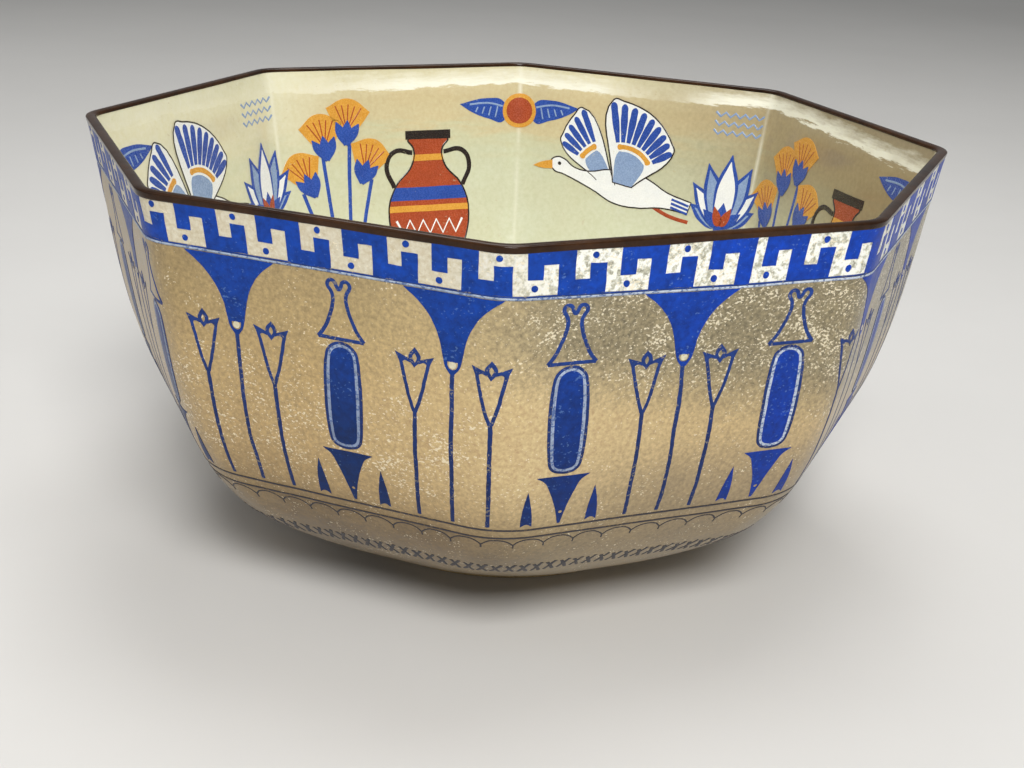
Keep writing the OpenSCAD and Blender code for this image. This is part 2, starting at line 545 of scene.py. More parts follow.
def kiln_mottle_group():
    tree = bpy.data.node_groups.new("kiln_mottle", "ShaderNodeTree")
    for label, value in MOTTLE_SCALES.items():
        socket = tree.interface.new_socket(label, in_out="INPUT", socket_type="NodeSocketFloat")
        socket.default_value = value
    for label in ("Cloud", "Grain", "Fleck", "Ripple"):
        tree.interface.new_socket(label, in_out="OUTPUT", socket_type="NodeSocketFloat")
    given = tree.nodes.new("NodeGroupInput").outputs
    result = tree.nodes.new("NodeGroupOutput").inputs
    where = node(tree, "ShaderNodeTexCoord").outputs["Object"]
    wiped = node(tree, "ShaderNodeMapping", {"Vector": where, "Scale": WIPED}).outputs[0]
    cloud = grain_node(tree, wiped, given["Cloud Scale"], 5.0, 0.6)
    grain = grain_node(tree, where, given["Grain Scale"], 4.0, 0.65)
    track = grain_node(tree, wiped, given["Fleck Scale"], 2.0, 0.6)
    patch = grain_node(tree, wiped, share_of(tree, given["Fleck Scale"], PATCH_SCALE), 4.0, 0.6)
    pull = share_of(tree, calc(tree, "SUBTRACT", patch, 0.5), PATCH_PULL)
    least = span(tree, given["Fleck Share"], 0, 1, FEW_FLECKS, MANY_FLECKS)
    over = calc(tree, "SUBTRACT", calc(tree, "ADD", track, pull), least)
    fleck = span(tree, over, 0.0, FLECK_EDGE)
    swell = grain_node(tree, where, RIPPLE_SCALE, 1.0)
    ripple = calc(tree, "ADD", swell, share_of(tree, grain, RIPPLE_GRAIN))
    tree.links.new(span(tree, cloud, *MIDDLE_TONES), result["Cloud"])
    tree.links.new(span(tree, grain, *MIDDLE_TONES), result["Grain"])
    tree.links.new(fleck, result["Fleck"])
    tree.links.new(ripple, result["Ripple"])
    return tree


KILN_MOTTLE = kiln_mottle_group()


COAT_ROUGHNESS = 0.08
RIPPLE_HEIGHT = 0.0006


def start_finish(name, *scales):
    """A new material, with its nodes, its shader, the place on the piece and its mottling, which takes
    the scales of clouds, grain and flecks and the share of flecks."""
    material = bpy.data.materials.new(name)
    material.use_nodes = True
    tree = material.node_tree
    where = node(tree, "ShaderNodeTexCoord").outputs["Object"]
    mottle = node(tree, "ShaderNodeGroup", dict(zip(MOTTLE_SCALES, scales)), node_tree=KILN_MOTTLE)
    return material, tree, tree.nodes["Principled BSDF"], where, mottle


def gloss(tree, shader, mottle, colour, rough, specular, coat, ripple=0.2):
    """Colour, a roughness that follows the grain, and a clear coat over a faint ripple."""
    tree.links.new(colour, shader.inputs["Base Color"])
    tree.links.new(span(tree, mottle.outputs["Grain"], 0, 1, *rough), shader.inputs["Roughness"])
    shader.inputs["Specular IOR Level"].default_value = specular
    shader.inputs["Coat Weight"].default_value = coat
    shader.inputs["Coat Roughness"].default_value = COAT_ROUGHNESS
    height = {"Strength": ripple, "Distance": RIPPLE_HEIGHT, "Height": mottle.outputs["Ripple"]}
    tree.links.new(node(tree, "ShaderNodeBump", height).outputs[0], shader.inputs["Normal"])


def along(tree, where, direction, low, high):
    """How far a point lies in a direction, as a share from low to high in millimetres."""
    sockets = {0: where, 1: direction}
    reach = node(tree, "ShaderNodeVectorMath", sockets, operation="DOT_PRODUCT").outputs["Value"]
    return span(tree, reach, low * MM, high * MM)


def height_share(tree, where, low, high):
    return along(tree, where, (0.0, 0.0, 1.0), low, high)


# %% [markdown]
# ### Outside lustre
#
# The outside is a golden lustre over pale glaze. Low down, where the wall turns under towards the
# floor, it is painted dark brown: painted shade. To the left of the front it is painted browner, also
# painted shade, and half way down near the front corner a paler patch is a painted sheen. Low on the
# wall right of the front it is darker. It is pale behind the key band. To the right of the front it has
# worn thin high on the wall: there the film is grey-green, with pale flecks close together. To the
# left, chips gather half way up. A ramp over the height gives the ground, an overlay of the grain
# gives the texture of the film, and masks from noise and place say where it is worn, and where the
# painted shade and sheen lie.

# %% Outside lustre
FRONT_CORNER = -3 * math.pi / SIDES
RIGHT_OF_FRONT = (-math.sin(FRONT_CORNER), math.cos(FRONT_CORNER), 0.0)
UP_AND_RIGHT = (0.2 * RIGHT_OF_FRONT[0], 0.2 * RIGHT_OF_FRONT[1], 1.0)


def rightwards(tree, where, low, high):
    return along(tree, where, RIGHT_OF_FRONT, low, high)


def all_of(tree, first, *others):
    """The product of masks."""
    for other in others:
        first = calc(tree, "MULTIPLY", first, other)
    return first


def golden_lustre():
    material, tree, shader, where, mottle = start_finish("golden_lustre", 30.0, 1000.0, 1250.0, 0.4)
    height = height_share(tree, where, FOOT_TOP, WALL_TOP)
    # The dark lowest stops of this ramp are painted shade, where the wall turns under towards the floor.
    ground = ramp(tree, height, (
        (0.00, paint(70, 54, 32)),
        (0.18, paint(76, 57, 31)),
        (0.30, paint(98, 75, 42)),
        (0.37, paint(166, 138, 93)),
        (0.48, paint(186, 156, 106)),
        (0.66, paint(183, 155, 104)),
        (0.80, paint(168, 145, 98)),
        (0.90, paint(158, 137, 94)),
    ))
    left = rightwards(tree, where, -15, -100)
    right = rightwards(tree, where, -14, 14)
    high = along(tree, where, UP_AND_RIGHT, 79, 95)
    patch = span(tree, grain_node(tree, where, 30.0, 5.0, 0.6), 0.26, 0.44)
    worn = all_of(tree, right, high, patch)
    band = all_of(tree, height_share(tree, where, 42, 54), height_share(tree, where, 84, 70))
    chips = all_of(tree, rightwards(tree, where, 15, -10), band)
    # Paler half way down near the front corner: a painted sheen.
    near = all_of(tree, rightwards(tree, where, -45, 5), rightwards(tree, where, 50, 15))
    near = all_of(tree, near, height_share(tree, where, 36, 55))
    # Darker low on the wall to the right of the front.
    low_right_dark = all_of(tree, rightwards(tree, where, 8, 42), height_share(tree, where, 66, 52))
    rubbed = calc(tree, "MAXIMUM", worn, share_of(tree, chips, 0.7))
    tree.links.new(span(tree, rubbed, 0, 1, 0.38, 0.62), mottle.inputs["Fleck Share"])
    # Browner to the left of the front: painted shade.
    ground = tint(tree, ground, left, 0.45, paint(136, 113, 72))
    ground = tint(tree, ground, right, 0.3, paint(192, 178, 142))
    ground = tint(tree, ground, near, 0.45, paint(220, 196, 148))
    ground = tint(tree, ground, low_right_dark, 0.75, paint(138, 122, 96))
    ground = tint(tree, ground, mottle.outputs["Cloud"], 0.35, paint(202, 174, 124))
    ground = tint(tree, ground, worn, 0.8, paint(120, 112, 88))
    cream = mix(tree, right, paint(214, 204, 178), paint(250, 250, 240))
    spots = all_of(tree, right, span(tree, grain_node(tree, where, 620.0, 3.0, 0.6), 0.47, 0.6))
    cream = tint(tree, cream, spots, 0.75, paint(150, 146, 116))
    slipped = calc(tree, "ADD", height, share_of(tree, rightwards(tree, where, 0, 57), 0.0124))
    ground = mix(tree, span(tree, slipped, 0.897, 0.901), ground, cream)
    film = span(tree, worn, 0, 1, 0.28, 0.5)
    ground = mix(tree, film, ground, mottle.outputs["Grain"], "OVERLAY")
    colour = tint(tree, ground, mottle.outputs["Fleck"], 0.75, paint(242, 230, 200))
    gloss(tree, shader, mottle, colour, (0.28, 0.42), 0.4, 0.2, 0.3)
    return material


GOLDEN_LUSTRE = golden_lustre()

# %% [markdown]
# ### Inside glaze
#
# The inside is a pale celadon. High on the wall runs a ragged bright line, a painted reflection of the
# lamps in the glossy glaze. Above the line it is cream, and tan smoke lies below. To the left the line
# fades, and the wall is painted paler: painted light where it faces the lamp. To the right the wall is
# painted darker: painted shade. The colours are a ramp over the distance from the line. The line
# wanders up and down with a slow noise, and a fine one that is drawn out sideways makes it ragged.
# Down each inner corner, where two walls meet, runs a pale streak: a painted highlight.

# %% Inside glaze
def crease_line(tree, where, half_width):
    """A mask of the eight inner corners, half_width wide as a share of a wall."""
    parts = node(tree, "ShaderNodeSeparateXYZ", {0: where}).outputs
    turn = calc(tree, "ARCTAN2", parts["Y"], parts["X"])
    wall = calc(tree, "FRACT", calc(tree, "DIVIDE", turn, 2 * math.pi / SIDES), 0.0)
    off = calc(tree, "ABSOLUTE", calc(tree, "SUBTRACT", wall, 0.5), 0.0)
    return span(tree, off, half_width, 0.0)


def from_glint_line(tree, where, height):
    """Height over the bright line, a painted reflection of the lamps, in shares of the wall. Far below the
    line, streaks shake it.
    """
    brushed = node(tree, "ShaderNodeMapping", {"Vector": where, "Scale": (1.0, 1.0, 6.0)}).outputs[0]
    slow = span(tree, grain_node(tree, where, 11.0, 1.0), 0.3, 0.7, 0.922, 0.953)
    fine = span(tree, grain_node(tree, brushed, 90.0, 4.0, 0.65), 0.3, 0.7, -0.012, 0.012)
    over = calc(tree, "SUBTRACT", calc(tree, "ADD", height, fine), slow)
    streak = span(tree, grain_node(tree, brushed, 20.0, 5.0, 0.6), 0.25, 0.75, -0.09, 0.09)
    return calc(tree, "ADD", over, all_of(tree, streak, span(tree, over, -0.02, -0.1)))


def celadon_glaze():
    material, tree, shader, where, mottle = start_finish("celadon_glaze", 26.0, 700.0, 600.0, 0.3)
    height = height_share(tree, where, FOOT_TOP, WALL_TOP)
    over = from_glint_line(tree, where, height)
    wash = ramp(tree, span(tree, over, -0.4, 0.1), (
        (0.00, paint(214, 217, 188)),
        (0.36, paint(211, 213, 182)),
        (0.48, paint(210, 208, 172)),
        (0.60, paint(216, 200, 157)),
        (0.74, paint(214, 195, 150)),
        (0.80, paint(220, 203, 160)),
        (0.88, paint(230, 221, 186)),
        (1.00, paint(222, 212, 174)),
    ))
    patchy = span(tree, grain_node(tree, where, 24.0, 3.0), 0.28, 0.5)
    fading = span(tree, rightwards(tree, where, -40, -75), 0, 1, 1.0, 0.25)
    # The bright line is a painted reflection of the lamps in the glaze.
    glint_line = all_of(tree, span(tree, over, 0.0, 0.006), span(tree, over, 0.05, 0.015), patchy, fading)
    # Paler to the left: painted light on the inner wall that faces the lamp.
    clear = all_of(tree, rightwards(tree, where, -58, -84), span(tree, over, -0.3, -0.1))
    shade = all_of(tree, rightwards(tree, where, 30, 100), span(tree, height, 0.5, 0.75))
    colour = tint(tree, wash, clear, 0.85, paint(238, 235, 205))
    colour = tint(tree, colour, mottle.outputs["Cloud"], 0.4, paint(200, 192, 154))
    colour = tint(tree, colour, shade, 0.78, paint(144, 124, 90))
    colour = mix(tree, glint_line, colour, paint(254, 251, 232))
    colour = mix(tree, 0.1, colour, mottle.outputs["Grain"], "OVERLAY")
    colour = tint(tree, colour, mottle.outputs["Fleck"], 0.25, paint(190, 168, 124))
    # A pale streak down each inner corner: a painted highlight.
    crease_highlight = all_of(tree, crease_line(tree, where, 0.012), span(tree, height, 0.2, 0.7))
    crease_highlight = all_of(tree, crease_highlight, mottle.outputs["Cloud"])
    colour = tint(tree, colour, crease_highlight, 0.7, paint(250, 247, 228))
    gloss(tree, shader, mottle, colour, (0.12, 0.2), 0.5, 0.5)
    return material


CELADON_GLAZE = celadon_glaze()


# %% Stain, clay and base
def stained(name, dark, light, scales, rough, specular, coat):
    """A plain finish: clouds from dark to light, with paler flecks."""
    material, tree, shader, _, mottle = start_finish(name, *scales)
    colour = mix(tree, mottle.outputs["Cloud"], dark, light)
    colour = mix(tree, 0.2, colour, mottle.outputs["Grain"], "OVERLAY")
    colour = tint(tree, colour, mottle.outputs["Fleck"], 0.4, light)
    gloss(tree, shader, mottle, colour, rough, specular, coat)
    return material


BROWN_STAIN = stained(
    "brown_stain", paint(31, 16, 6), paint(62, 38, 18), (70.0, 600.0, 600.0, 0.4), (0.14, 0.24), 0.15, 0.1
)
BARE_CLAY = stained(
    "bare_clay", paint(180, 154, 110), paint(208, 186, 146), (90.0, 1200.0, 900.0, 0.4), (0.7, 0.85), 0.3, 0
)
BASE_GLAZE = stained(
    "base_glaze", paint(176, 156, 112), paint(206, 190, 148), (40.0, 600.0, 700.0, 0.4), (0.2, 0.3), 0.4, 0.2
)

settle(clay_shell, "biscuit_body", BARE_CLAY)
settle(outside_lustre, "outer_glaze", GOLDEN_LUSTRE)
settle(inside_glaze, "inner_glaze", CELADON_GLAZE)
settle(brown_edge, "rim_edging", BROWN_STAIN)
settle(foot, "foot_ring", BARE_CLAY)
settle(base, "base_glaze", BASE_GLAZE)

# %% [markdown]
# ## Prints
#
# The blue bands are transfers: drawn flat, printed on thin paper and smoothed round the bowl
# before the last firing. They are made here the same way. A motif is drawn as a flat filled curve
# in millimetres, x along the rim and y down the wall. It becomes a thin mesh, is sliced into strips
# so that it can bend, repeated with an Array modifier, and then bent round the wall by the same
# formula as the glaze. Just before that, a little noise shifts its points, because an old print
# has no ruler-straight edges. Blender's vector noise starts from the clock unless it is given a
# seed, so it has one here, and every run prints the same bowl.

# %% Blue, pale, cream and grey inks
def print_ink(name, deep, bright, worn, wear, share=0.35, clear=None):
    """A printed colour, brighter near the rim, mottled, with worn flecks where the glaze shows.
    It may be clearer to the right of the front corner."""
    material, tree, shader, where, mottle = start_finish(name, 90.0, 600.0, 1100.0, share)
    tone = mix(tree, height_share(tree, where, 62, 110), deep, bright)
    if clear:
        tone = tint(tree, tone, rightwards(tree, where, 0, 60), 0.5, clear)
    tone = tint(tree, tone, mottle.outputs["Cloud"], 0.4, deep)
    tone = mix(tree, 0.3, tone, mottle.outputs["Grain"], "OVERLAY")
    colour = tint(tree, tone, mottle.outputs["Fleck"], wear, worn)
    gloss(tree, shader, mottle, colour, (0.34, 0.5), 0.18, 0.05, 0.3)
    return material


BLUE_INK = print_ink(
    "blue_ink", paint(6, 40, 94), paint(10, 66, 166), paint(112, 150, 200), 0.35, 0.4, paint(4, 62, 190)
)
LINE_INK = print_ink("line_ink", paint(22, 44, 96), paint(32, 66, 142), paint(150, 140, 116), 0.6, 0.5)
PALE_INK = print_ink(
    "pale_ink", paint(128, 142, 170), paint(172, 184, 200), paint(64, 92, 150), 0.8, 0.7,
    paint(236, 242, 246),
)
CREAM_INK = print_ink("cream_ink", paint(206, 196, 164), paint(214, 206, 178), paint(170, 150, 112), 0.5)
GREY_INK = print_ink("grey_ink", paint(56, 54, 60), paint(68, 64, 64), paint(130, 110, 78), 0.5, 0.5)


# %% Drawing and bending a print
PRINT_TOP = 0.10
PRINT_SUNK = 0.06
STRIP_X = 1.5
STRIP_Y = 2.5
SHEET_WELD = 0.005
CURVE_STEPS = 8
PEN_STEPS = 5
WOBBLES = ((9.0, 2.0), (1.4, 1.0))
WOBBLE_SEED = 8
noise.seed_set(WOBBLE_SEED)


def sharp(x, y):
    return x, y, "VECTOR"


def soft(x, y):
    return x, y, "AUTO"


def mirrored(outline):
    return [(-x, y, kind) for x, y, kind in outline]


def both_sides(half):
    """A closed outline from its right half, listed from top to bottom."""
    return half + mirrored(reversed(half))


def circle(x, y, radius):
    return [soft(x + radius * c, y + radius * s) for c, s in ((1, 0), (0, 1), (-1, 0), (0, -1))]


def to_mesh(curve):
    """Adds a curve to the scene and turns it into a mesh."""
    piece = bpy.data.objects.new(curve.name, curve)
    bpy.context.collection.objects.link(piece)
    pick(piece)
    bpy.ops.object.convert(target="MESH")
    return bpy.context.object


def draw(curve, outline, closed):
    """Adds an outline to a curve. Down the sheet is y in an outline and -y in the mesh."""
    spline = curve.splines.new("BEZIER")
    spline.bezier_points.add(len(outline) - 1)
    spline.use_cyclic_u = closed
    for knot, (x, y, kind) in zip(spline.bezier_points, outline):
        knot.co = (x, -y, 0)
        knot.handle_left_type = knot.handle_right_type = kind


def filled(*outlines):
    """A thin flat shape. An outline drawn inside another is a hole."""
    curve = bpy.data.curves.new("shape", "CURVE")
    curve.dimensions = "2D"
    curve.fill_mode = "BOTH"
    curve.resolution_u = CURVE_STEPS
    curve.extrude = (PRINT_TOP + PRINT_SUNK) / 2
    for outline in outlines:
        draw(curve, outline, True)
    piece = to_mesh(curve)
    weld(piece, SHEET_WELD, outward=False)
    move_points(piece, (0, 0, (PRINT_TOP - PRINT_SUNK) / 2))
    return piece


def stroke(width, *lines, closed=False, steps=CURVE_STEPS):
    """Brush lines of one width, as flattened tubes."""
    curve = bpy.data.curves.new("lines", "CURVE")
    curve.dimensions = "3D"
    curve.resolution_u = steps
    curve.bevel_depth = width / 2
    curve.bevel_resolution = 1
    curve.use_fill_caps = True
    for line in lines:
        draw(curve, line, closed)
    piece = to_mesh(curve)
    weld(piece, SHEET_WELD, outward=False)
    flat = get_points(piece)
    flat[:, 2] *= PRINT_TOP / (width / 2)
    set_points(piece, flat)
    return piece


def slice_up(piece, step_x=STRIP_X, step_y=STRIP_Y):
    """Cuts a flat piece along a grid, so that it bends smoothly."""
    points = get_points(piece)
    pick(piece)
    bpy.ops.object.mode_set(mode="EDIT")
    for axis, step in ((0, step_x), (1, step_y)):
        normal = [0, 0, 0]
        normal[axis] = 1
        for cut in np.arange(points[:, axis].min() + step, points[:, axis].max(), step):
            place = [0, 0, 0]
            place[axis] = cut
            bpy.ops.mesh.select_all(action="SELECT")
            bpy.ops.mesh.bisect(plane_co=place, plane_no=normal)
    bpy.ops.object.mode_set(mode="OBJECT")
    return piece


def joined(name, *pieces):
    """Makes one piece of several, under a name."""
    pick(*pieces)
    if len(pieces) > 1:
        bpy.ops.object.join()
    piece = bpy.context.object
    piece.name = name
    return piece


def repeat(piece, count, step):
    """Copies a motif to the right, each copy with its own mesh."""
    pick(piece)
    array = piece.modifiers.new("repeat", "ARRAY")
    array.count = count
    array.use_relative_offset = False
    array.use_constant_offset = True
    array.constant_offset_displace = (step, 0, 0)
    bpy.ops.object.modifier_apply(modifier=array.name)
    return piece


def wobble(points, amount):
    """A slow drift and a fine raggedness in the plane of the print."""
    for size, share in WOBBLES:
        drift = np.array([
            noise.noise_vector((x / size, y / size, size)) for x, y in points[:, :2]
        ])
        points[:, :2] += amount * share * drift[:, :2]
    return points


# %% Faces that take prints
class Face:
    """A painted face of the bowl: where a run of millimetres below the rim lies, and which way is off it."""

    def __init__(self, rows, outward):
        self.rows = rows
        self.run = run_of(rows)
        heading = np.gradient(rows[:, :2], self.run, axis=0)
        heading /= np.linalg.norm(heading, axis=1)[:, None]
        self.off = outward * np.column_stack([-heading[:, 1], heading[:, 0]])

    def girth(self, down):
        """Length once round, so far below the rim."""
        reach, _, core = (np.interp(down, self.run, column) for column in self.rows.T)
        return SIDES * (2 * core * math.tan(HALF_SECTOR) + 2 * (reach - core) * HALF_SECTOR)

    def place(self, turn, down, lift):
        reach, height, core = (np.interp(down, self.run, column) for column in self.rows.T)
        off_reach, off_height = (np.interp(down, self.run, column) for column in self.off.T)
        return bend_round(turn, reach, height + lift * off_height, core, lift * off_reach)


OUTER_FACE = Face(OUTSIDE, 1)
INNER_FACE = Face(INSIDE, -1)
FRONT_EASE = 2.3
SWAY = 6.5
SWAY_FROM = 25
SWAY_OVER = 50
PAPER_STRETCH = 1.015
SLIP = 1.4
SLIP_DOWN = (0, 12, 32)
SLIP_SHARES = (0.25, 1, 0)


def sway(turn, down):
    """Sideways drift of the long motifs. They stand a little further apart in front, and lean with
    the paper as the wall draws in."""
    lean = np.clip((down - SWAY_FROM) / SWAY_OVER, 0, 1)
    return (FRONT_EASE + SWAY * lean) * np.sin(2 * math.pi * turn)


def below_rim(turn, drawn):
    """Where a line of the sheet comes to lie. Wet paper stretches a little, and right of the front
    corner the upper part of the sheet slipped down."""
    slipped = np.clip(2 * np.sin(2 * math.pi * turn), 0, 1) * np.interp(drawn, SLIP_DOWN, SLIP_SHARES)
    return PAPER_STRETCH * drawn + SLIP * slipped


def finish_print(piece, ink):
    """Smooths a print that lies on the bowl, and gives it its ink."""
    pick(piece)
    bpy.ops.object.shade_smooth_by_angle(angle=PIECE_CREASE)
    print(f"{piece.name}: {len(piece.data.polygons)} faces")
    settle(piece, None, ink)


def lay_print(piece, ink, true_at, start, ragged, swaying=False):
    """Bends a flat print round the outside. Its width is true so far down the sheet, and its x runs
    from start, in millimetres to the right of the front corner."""
    girth = OUTER_FACE.girth(true_at)
    flat = wobble(get_points(piece), ragged)
    turn = (flat[:, 0] + start) / girth
    if swaying:
        turn = turn + sway(turn, -flat[:, 1]) / girth
    set_points(piece, OUTER_FACE.place(turn, below_rim(turn, -flat[:, 1]), flat[:, 2]))
    finish_print(piece, ink)


# %% [markdown]
# ## Key band
#
# Under the rim runs a key pattern: blue with stepped cream keys left open, each with two blue
# dots. One unit is a stepped blue shape and two dots. The strip of paper was a little too long for
# the bowl, so the last unit is cut where the strip's ends meet.

# %% Key band
KEY_TOP = 0.9
KEY_END = 11.4
KEY_UNIT = 22.1
KEY_COUNT = 33
KEY_START = 74.0
KEY_TRUE_AT = 7.0
KEY_DOT = 0.78
KEY_INSET = 0.05
KEY_RAGGED = 0.13


def key_point(across, down):
    """A corner of the key, in shares of the unit. At 0 it lies at the very top, else a little lower."""
    share = KEY_INSET + (1 - KEY_INSET) * down if down else 0
    return sharp(across * KEY_UNIT, KEY_TOP + share * (KEY_END - KEY_TOP))


def key_shape(*corners):
    return [key_point(*corner) for corner in corners]


def key_dot(across, down):
    x, y, _ = key_point(across, down)
    return circle(x, y, KEY_DOT)


HIGH_STEP = ((0.82, 1), (0.82, 0.27), (0.66, 0.27), (0.66, 0.63), (0.49, 0.63), (0.49, 0), (1, 0))
LOW_STEP = ((1, 0.66), (1.16, 0.66), (1.16, 0.30), (1.34, 0.30), (1.34, 1))
WHOLE_KEY = (key_shape(*HIGH_STEP, *LOW_STEP), key_dot(0.57, 0.84), key_dot(1.21, 0.11))
CUT_KEY = (key_shape(*HIGH_STEP, (1, 1)), key_dot(0.57, 0.84))
key_band = repeat(slice_up(filled(*WHOLE_KEY)), KEY_COUNT, KEY_UNIT)
cut_unit = slice_up(filled(*CUT_KEY))
move_points(cut_unit, (KEY_COUNT * KEY_UNIT, 0, 0))
key_band = joined("key_band", key_band, cut_unit)
lay_print(key_band, BLUE_INK, KEY_TRUE_AT, KEY_START - KEY_UNIT, KEY_RAGGED)

# %% [markdown]
# ## Lines round the bowl
#
# A plain ring needs no drawing: it is a grid of two rows, bent round and given a thickness. Four
# rings frame the bands: a blue one and a pale one under the keys, and two grey ones low on the wall.

# %% Rings
RING_DRIFT = 0.12
RING_TURNS = 9


def ring(name, ink, middle, width):
    """A printed line once round the bowl."""
    deselect()
    bpy.ops.mesh.primitive_grid_add(x_subdivisions=COLUMNS, y_subdivisions=2, size=1)
    piece = bpy.context.object
    flat = get_points(piece)
    turn = flat[:, 0] + 0.5
    down = middle - flat[:, 1] * width + RING_DRIFT * drift_round(2 * math.pi * turn, RING_TURNS, middle)
    set_points(piece, OUTER_FACE.place(turn, below_rim(turn, down), PRINT_TOP))
    weld(piece, PIECE_WELD, outward=False)
    pick(piece)
    thick = piece.modifiers.new("thickness", "SOLIDIFY")
    thick.thickness = (PRINT_TOP + PRINT_SUNK) * MM
    bpy.ops.object.modifier_apply(modifier=thick.name)
    bpy.ops.object.shade_smooth()
    settle(joined(name, piece), None, ink)


ring("blue_ring", LINE_INK, 11.6, 0.4)
ring("pale_ring", PALE_INK, 12.15, 0.6)
ring("grey_ring_over", GREY_INK, 76.6, 0.55)
ring("grey_ring_under", GREY_INK, 79.7, 0.55)

# %% [markdown]
# ## Lotus columns and flowers
#
# Thirteen times round the bowl, a lotus capital hangs from the band on a thin stem between two
# tall flowers. The capital is one filled outline with a hole for its eye. A flower is two brush
# lines that meet at the stem, two wedge petals and a small open bud.

# %% Arcade measures
REPEATS = 13
ARCADE_TRUE_AT = 30.0
ARCADE_STEP = OUTER_FACE.girth(ARCADE_TRUE_AT) / REPEATS
COLUMN_START = -11.7
STEM_END = 75.4
FLOWER_OUT = 9.3
print(f"arcade step {ARCADE_STEP:.2f} mm")


def arcade(name, ink, *pieces, sliced=True, ragged=0.06):
    """Joins the shapes of one motif, repeats it and lays it round the bowl."""
    motif = joined(name, *pieces)
    if sliced:
        slice_up(motif)
    lay_print(repeat(motif, REPEATS, ARCADE_STEP), ink, ARCADE_TRUE_AT, COLUMN_START, ragged, swaying=True)


def stem_line(x, top, knots=10):
    return [soft(x, y) for y in np.linspace(top, STEM_END, knots)]


# %% Lotus capitals and stems
capital = filled(
    both_sides([
        sharp(11.7, 12.6), soft(7.5, 16.2), soft(4.8, 20.0), soft(3.1, 24.5), soft(2.3, 28.6),
        soft(1.75, 30.6), sharp(0.55, 32.4),
    ]),
    both_sides([sharp(1.3, 29.2), soft(1.15, 30.3), soft(0.5, 31.1)]),
)
arcade("lotus_capitals", BLUE_INK, capital)
arcade("column_eyes", CREAM_INK, filled(circle(0, 30.0, 0.9)))
arcade("column_stems", LINE_INK, stroke(1.1, stem_line(0, 32.0)), sliced=False, ragged=0.14)


# %% Tall flowers
PETAL_TIP = [sharp(4.7, 29.0), sharp(0.9, 30.5), sharp(1.0, 31.3), soft(2.6, 31.0), sharp(3.2, 32.6)]


def flower_pieces(x):
    """Strokes and petals of one tall flower whose axis is at x."""
    sides = [
        [soft(x + side * reach, y) for reach, y in ((3.6, 30.2), (2.6, 35.0), (1.6, 39.5), (0.25, 43.9))]
        for side in (-1, 1)
    ]
    petals = [
        [(x + side * reach, y, kind) for reach, y, kind in PETAL_TIP] for side in (-1, 1)
    ]
    bud = [[sharp(x, 27.3), soft(x + 1.45, 29.8), sharp(x, 32.5), soft(x - 1.45, 29.8)]]
    bud_eye = [[sharp(x, 28.8), soft(x + 0.55, 29.9), sharp(x, 31.2), soft(x - 0.55, 29.9)]]
    return stroke(0.9, *sides), stroke(1.1, stem_line(x, 43.6, 8)), filled(*petals), filled(*bud, *bud_eye)


flowers = [*flower_pieces(-FLOWER_OUT), *flower_pieces(FLOWER_OUT)]
arcade("tall_flowers", LINE_INK, *flowers, sliced=False, ragged=0.12)

# %% [markdown]
# ## Urns, tablets and drops
#
# Between the columns stands a small urn drawn in outline, on a tall tablet with rounded ends: a
# blue line, a pale gap and a solid core. Below it hangs a lotus drop between two leaves.

# %% Urns
URN_AT = ARCADE_STEP / 2


def beside(x, outline):
    return [(x + px, y, kind) for px, y, kind in outline]


URN_SIDE = [
    soft(0, 16.3), soft(0.55, 15.6), soft(0.9, 14.7), soft(1.7, 14.2), soft(2.6, 14.7), soft(2.75, 15.7),
    soft(2.1, 16.8), soft(1.65, 18.2), soft(1.9, 20.6), soft(2.9, 23.7), soft(4.2, 26.6), soft(5.8, 28.8),
]
URN = mirrored(reversed(URN_SIDE[1:])) + URN_SIDE
URN_BASE = [soft(x, 28.8) for x in np.linspace(-5.8, 5.8, 7)]
arcade("urns", LINE_INK, stroke(0.95, beside(URN_AT, URN), beside(URN_AT, URN_BASE)), sliced=False)


# %% Tablets
def tablet(x, half, top, end, corner):
    """A tall plate with a round top and soft lower corners."""
    shoulder = top + half
    arc = [
        soft(half * math.sin(a), shoulder - half * math.cos(a)) for a in np.radians((15, 45, 75))
    ]
    foot_arc = [
        soft(half - corner + corner * math.cos(a), end - corner + corner * math.sin(a))
        for a in np.radians((10, 45, 80))
    ]
    return beside(x, both_sides([*arc, *foot_arc]))


FRAME_OUT = tablet(URN_AT, 4.35, 29.4, 58.6, 3.3)
FRAME_IN = tablet(URN_AT, 3.65, 30.1, 57.9, 2.6)
CORE_OUT = tablet(URN_AT, 2.95, 30.8, 57.2, 2.0)
arcade("tablet_frames", LINE_INK, filled(FRAME_OUT, FRAME_IN))
arcade("tablet_gaps", PALE_INK, filled(FRAME_IN, CORE_OUT))
arcade("tablet_cores", BLUE_INK, filled(CORE_OUT))

# %% Lotus drops and leaves
DROP = both_sides([
    sharp(6.8, 59.5), soft(4.6, 61.2), soft(3.6, 63.3), soft(2.2, 67.2), soft(1.1, 71.4), sharp(0.35, 75.2)
])
DROP_EYE = circle(0.1, 71.2, 0.5)
LEAF = [
    sharp(8.7, 63.5), soft(9.6, 67.7), soft(10.1, 71.5), sharp(10.3, 75.3),
    soft(8.8, 74.4), sharp(7.2, 75.3), soft(7.4, 71.5), soft(7.9, 67.7),
]
arcade("lotus_drops", BLUE_INK, filled(beside(URN_AT, DROP), beside(URN_AT, DROP_EYE)))
arcade("leaf_spikes", BLUE_INK, filled(beside(URN_AT, LEAF), beside(URN_AT, mirrored(LEAF))))

# %% [markdown]
# ## Scallops and hatching
#
# Two grey rings close the wall. From the lower one hangs a row of scallops drawn with a fine pen,
# six to each repeat, and near the foot runs a band of crossing dark strokes.

